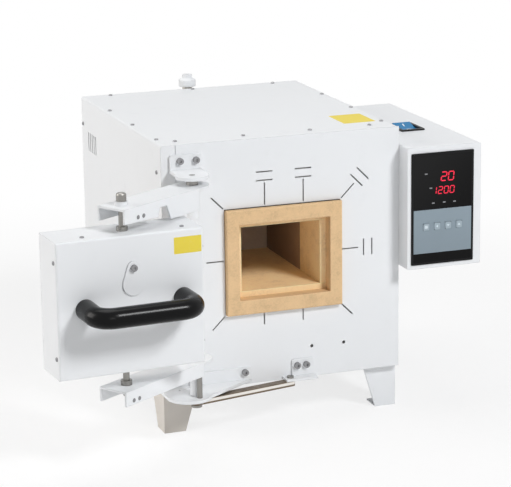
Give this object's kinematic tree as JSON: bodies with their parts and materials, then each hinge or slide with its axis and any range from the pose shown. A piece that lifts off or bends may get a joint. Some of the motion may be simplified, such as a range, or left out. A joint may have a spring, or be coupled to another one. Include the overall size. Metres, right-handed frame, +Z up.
{
  "type": "box resistance furnace",
  "caption": "Bench muffle furnace with a square ceramic-lined chamber, an insulated door carried on a swinging arm that keeps it facing forwards, and a side controller box",
  "frame": {"origin": "centre of the bounding box at the height of the feet, with the door swung open", "axes": "+X to the right seen from the front, +Y from the front to the back, +Z up"},
  "size_m": [0.6002, 0.598, 0.3944],
  "materials": {
    "white_paint": "fine powder coat",
    "mouth_ceramic": "matte refractory",
    "plate_ceramic": "matte refractory, darkened by heat",
    "fibre": "soft fibre board",
    "steel": "zinc plated",
    "bright_steel": "polished",
    "heating_wire": "oxidised",
    "black_gloss": "gloss",
    "black_plastic": "fine grain",
    "key_plastic": "satin",
    "keypad_film": "satin film",
    "window_film": "smoked",
    "blue_plastic": "gloss",
    "board": "lacquered board",
    "glass": "clear",
    "relay_plastic": "moulded"
  },
  "bodies": {
    "furnace": {"outer_casing": "white_paint", "front_panel": "white_paint", "rear_panel": "white_paint", "base_tray": "white_paint", "front_left_foot": "white_paint", "front_right_foot": "white_paint", "rear_left_foot": "white_paint", "rear_right_foot": "white_paint", "mouth_collar": "mouth_ceramic", "chamber_floor": "mouth_ceramic", "chamber_roof": "mouth_ceramic", "front_wall_bricks": "mouth_ceramic", "heating_plates": "plate_ceramic", "heating_wires": "heating_wire", "rear_brick": "plate_ceramic", "insulation_base": "fibre", "insulation_sides": "fibre", "insulation_roof": "fibre", "insulation_rear": "fibre", "exhaust_pipe": "steel", "exhaust_cap": "white_paint", "thermocouple": "steel", "controller_box": "white_paint", "controller_back": "white_paint", "mains_inlet": "black_plastic", "instrument_case": "black_plastic", "instrument_windows": "window_film", "keypad": "keypad_film", "circuit_board": "board", "switch_bezel": "black_plastic", "power_relay": "relay_plastic", "terminal_block": "relay_plastic", "upper_hinge_bracket": "white_paint", "upper_hinge_pin": "bright_steel", "lower_hinge_plate": "white_paint", "lower_hinge_pins": "bright_steel", "stay_bar": "steel", "stay_bracket": "white_paint", "top_rails": "steel", "casing_screws": "steel", "bracket_screws": "steel"},
    "swing_arm": {"upper_arm": "white_paint", "lower_arm": "white_paint", "arm_grub_screws": "steel"},
    "door": {"door_shell": "white_paint", "sight_glass": "glass", "door_back_plate": "steel", "door_brick": "mouth_ceramic", "door_blanket": "fibre", "door_pins": "bright_steel", "guide_lever": "steel", "door_screws": "steel", "door_handle": "black_gloss"},
    "peephole_cover": {"peephole_cover": "white_paint"},
    "guide_rod": {"guide_rod": "steel"},
    "rocker": {"rocker": "blue_plastic"},
    "key_1": {"key_1": "key_plastic"},
    "key_2": {"key_2": "key_plastic"},
    "key_3": {"key_3": "key_plastic"},
    "key_4": {"key_4": "key_plastic"}
  },
  "joints": [
    {"name": "arm_swing", "type": "hinge", "parent": "furnace", "child": "swing_arm", "pos_m": [-0.09486, -0.13599, 0.2], "axis": [0, 0, 1], "range_deg": [-22, 145.56]},
    {"name": "door_turn", "type": "hinge", "parent": "swing_arm", "child": "door", "pos_m": [-0.20599, -0.20733, 0.2], "axis": [0, 0, 1], "range_deg": [-149.16, 22.63]},
    {"name": "guide_swing", "type": "hinge", "parent": "furnace", "child": "guide_rod", "pos_m": [-0.09486, -0.14949, 0.095], "axis": [0, 0, 1], "range_deg": [-22.1, 145.66]},
    {"name": "cover_swing", "type": "hinge", "parent": "door", "child": "peephole_cover", "pos_m": [-0.20129, -0.23509, 0.2645], "axis": [0.061, -0.9981, 0], "range_deg": [-120, 120]},
    {"name": "rocker_tilt", "type": "hinge", "parent": "furnace", "child": "rocker", "pos_m": [0.25014, 0.00001, 0.35], "axis": [1, 0, 0], "range_deg": [-11.8, 0]},
    {"name": "key_1_press", "type": "slide", "parent": "furnace", "child": "key_1", "axis": [0, 1, 0], "range_m": [0, 0.0005], "stiffness_N_per_m": 300},
    {"name": "key_2_press", "type": "slide", "parent": "furnace", "child": "key_2", "axis": [0, 1, 0], "range_m": [0, 0.0005], "stiffness_N_per_m": 300},
    {"name": "key_3_press", "type": "slide", "parent": "furnace", "child": "key_3", "axis": [0, 1, 0], "range_m": [0, 0.0005], "stiffness_N_per_m": 300},
    {"name": "key_4_press", "type": "slide", "parent": "furnace", "child": "key_4", "axis": [0, 1, 0], "range_m": [0, 0.0005], "stiffness_N_per_m": 300}
  ],
  "couplings": [
    {"joint": "door_turn", "follows": "arm_swing", "ratio": -1.024},
    {"joint": "guide_swing", "follows": "arm_swing", "ratio": 1}
  ]
}
